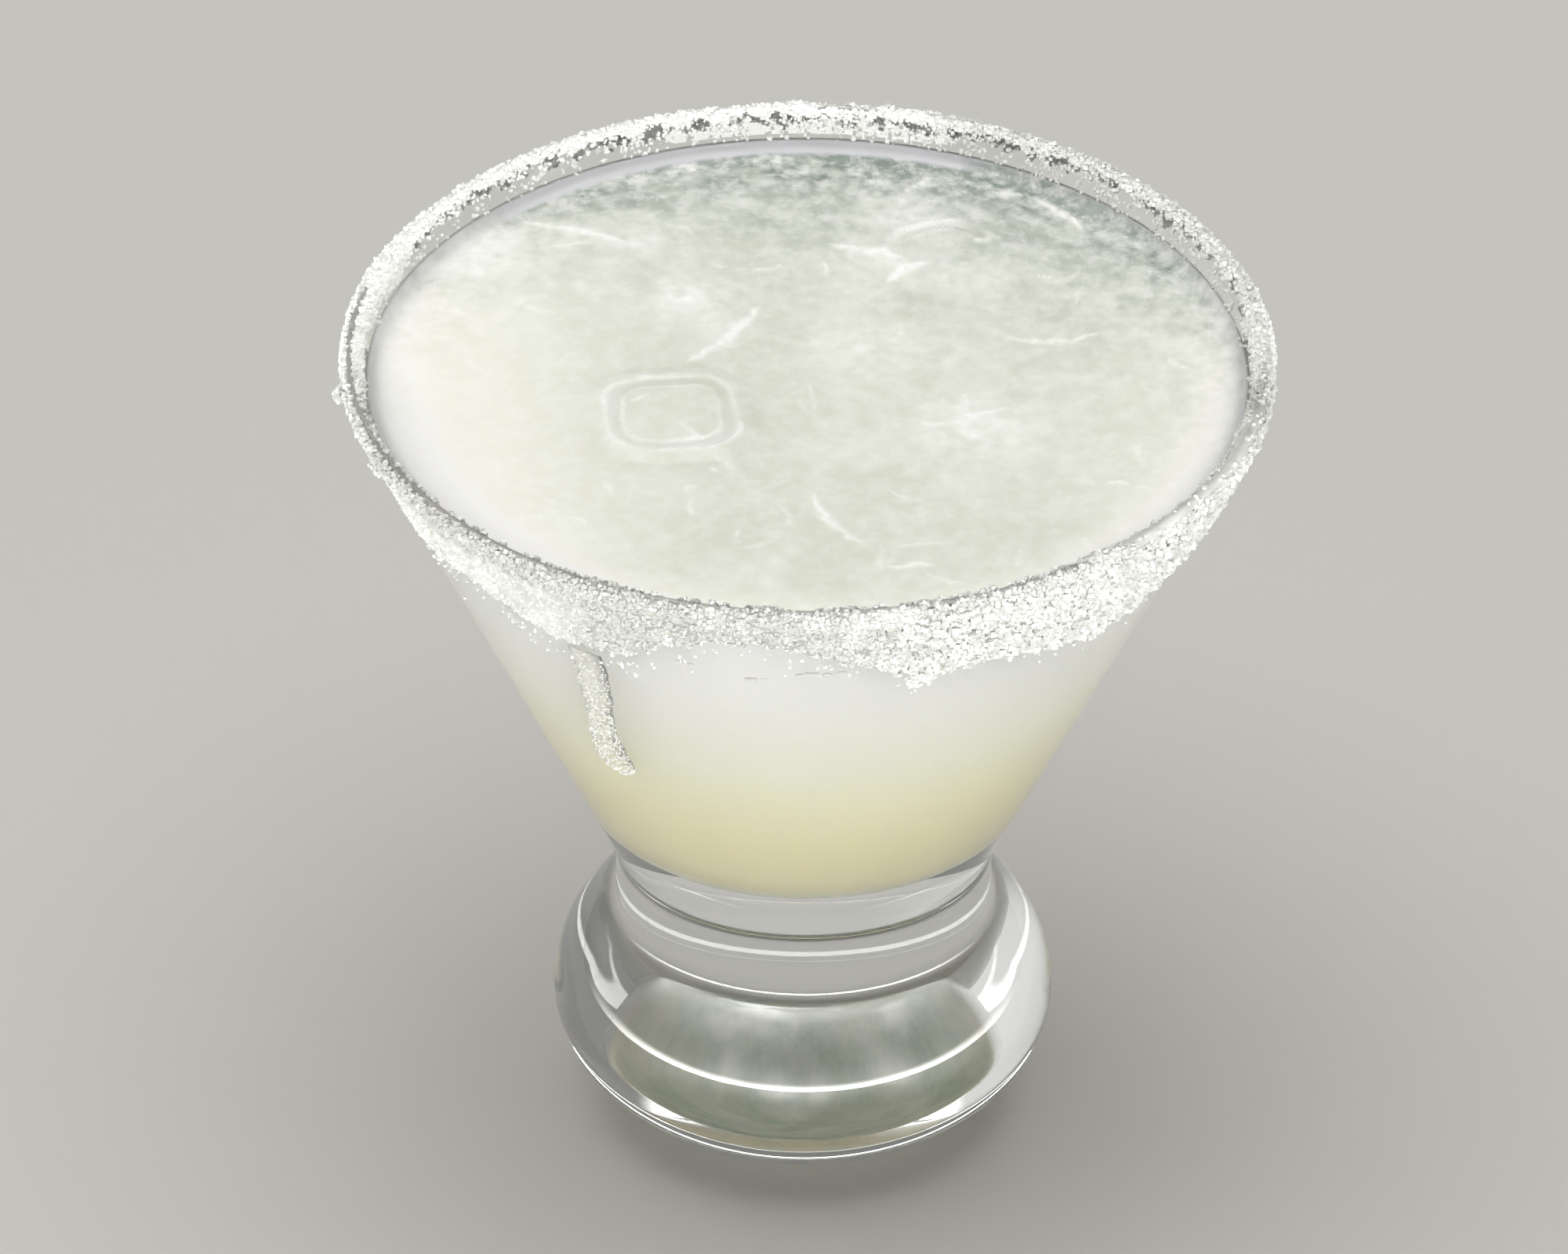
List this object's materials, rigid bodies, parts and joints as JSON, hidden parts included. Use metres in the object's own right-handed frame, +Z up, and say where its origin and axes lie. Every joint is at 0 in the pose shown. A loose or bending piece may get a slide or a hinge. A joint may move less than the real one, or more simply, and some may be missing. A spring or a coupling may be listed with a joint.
{
  "type": "lemonade",
  "caption": "cloudy lemonade with ice in a footed cone cocktail glass with a sugared rim",
  "frame": {"origin": "middle of the foot's flat underside, on the table", "axes": "+Z up, the glass's axis of turning; -Y is the side the deep sugar band faces"},
  "size_m": [0.1107, 0.1104, 0.1058],
  "materials": {
    "clear_glass": "clear polished glass; the lip is crusted with white sugar",
    "cloudy_drink": "cloudy pale yellow-white drink with a wet surface",
    "ice": "wet ice with melted edges, in the drink's pale colour"
  },
  "bodies": {
    "root": {"glass": "clear_glass", "lemonade": "cloudy_drink", "ice_cube_large": "ice", "ice_cube_small": "ice"}
  },
  "joints": []
}
